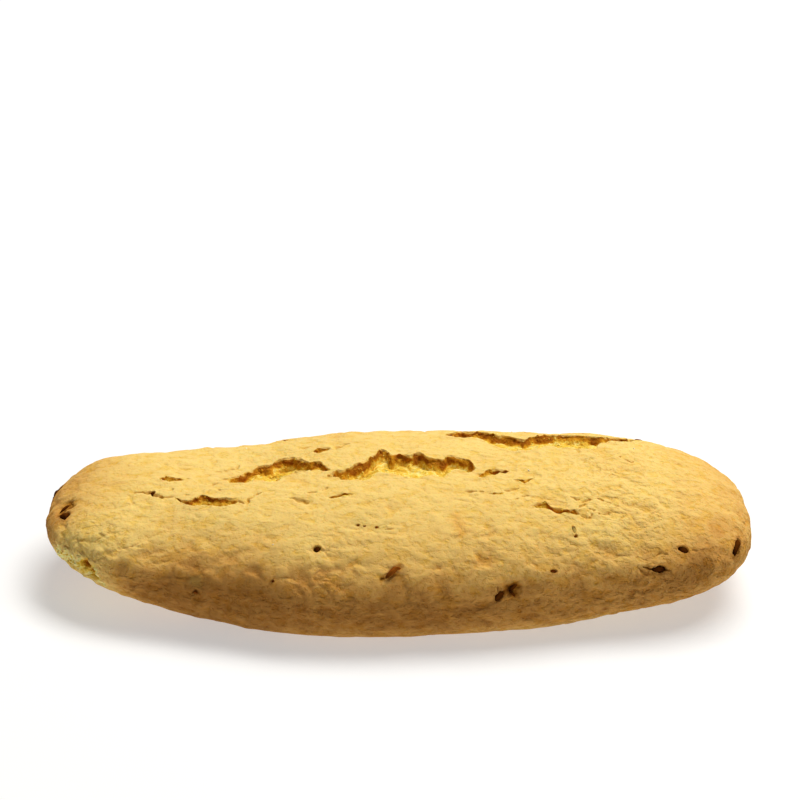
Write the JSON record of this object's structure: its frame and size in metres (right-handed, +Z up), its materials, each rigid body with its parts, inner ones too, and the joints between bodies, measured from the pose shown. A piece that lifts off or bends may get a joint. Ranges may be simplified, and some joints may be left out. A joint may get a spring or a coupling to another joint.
{
  "type": "anise cookie",
  "caption": "Long soft baked cookie with rounded ends, a flat base, a domed crown torn by open splits, and whole anise seeds in its crust.",
  "frame": {"origin": "middle of the bounding box's underside, on the flat base", "axes": "+X along the cookie's length, -Y towards its front, +Z up through its crown"},
  "size_m": [0.131, 0.0586, 0.0226],
  "materials": {
    "crust": "dull dry baked crust, paler crumb inside the splits, browner towards the base",
    "anise_seed": "dull ribbed toasted seed",
    "sugar": "small clear to white grains"
  },
  "bodies": {
    "root": {"cookie": "crust"}
  },
  "joints": []
}
